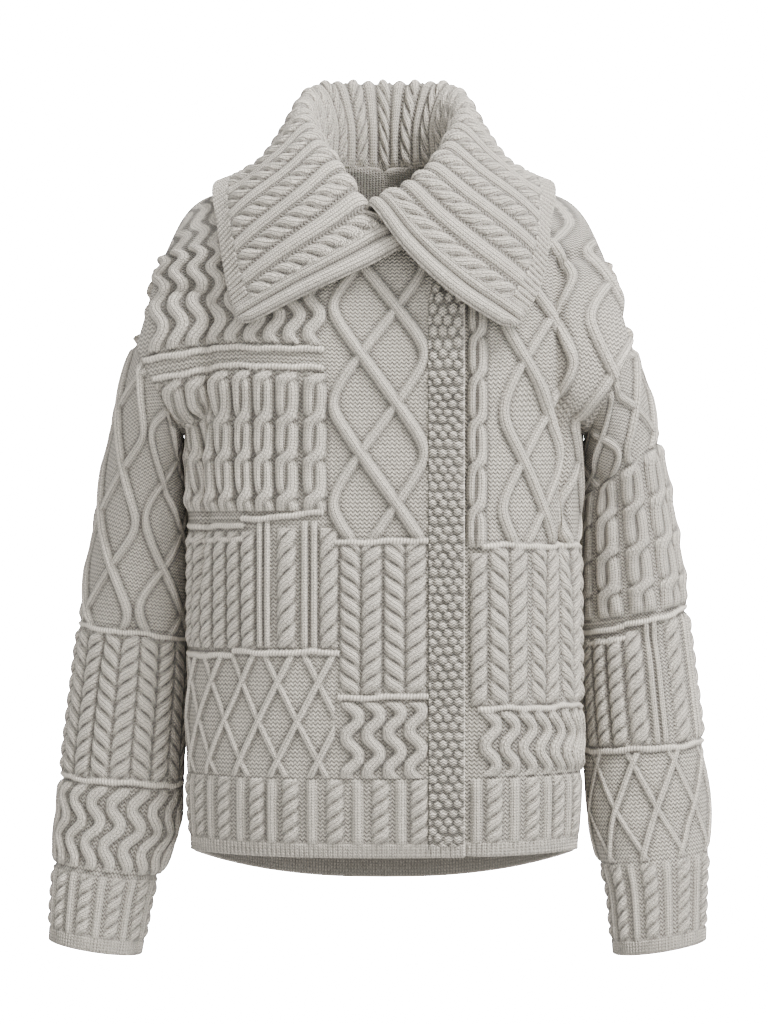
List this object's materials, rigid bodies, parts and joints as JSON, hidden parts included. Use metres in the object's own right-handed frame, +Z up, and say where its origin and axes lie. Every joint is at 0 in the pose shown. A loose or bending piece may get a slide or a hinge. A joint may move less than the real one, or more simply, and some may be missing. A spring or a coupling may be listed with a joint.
{
  "type": "cable knit cardigan, worn form",
  "caption": "Patchwork cable knit cardigan with a wide fold-over collar, a moss-stitch front band and dropped sleeves, hollow as worn.",
  "frame": {"origin": "middle of the neck opening, level with the tops of the shoulders, where the wearer carries it", "axes": "+X to the wearer's left, front facing -Y, +Z up"},
  "size_m": [0.6093, 0.288, 0.8085],
  "materials": {
    "wool": "soft marled wool knit"
  },
  "bodies": {
    "root": {"back": "wool", "front_right": "wool", "front_left": "wool", "front_band": "wool", "sleeve_right": "wool", "sleeve_left": "wool", "collar": "wool"}
  },
  "joints": []
}
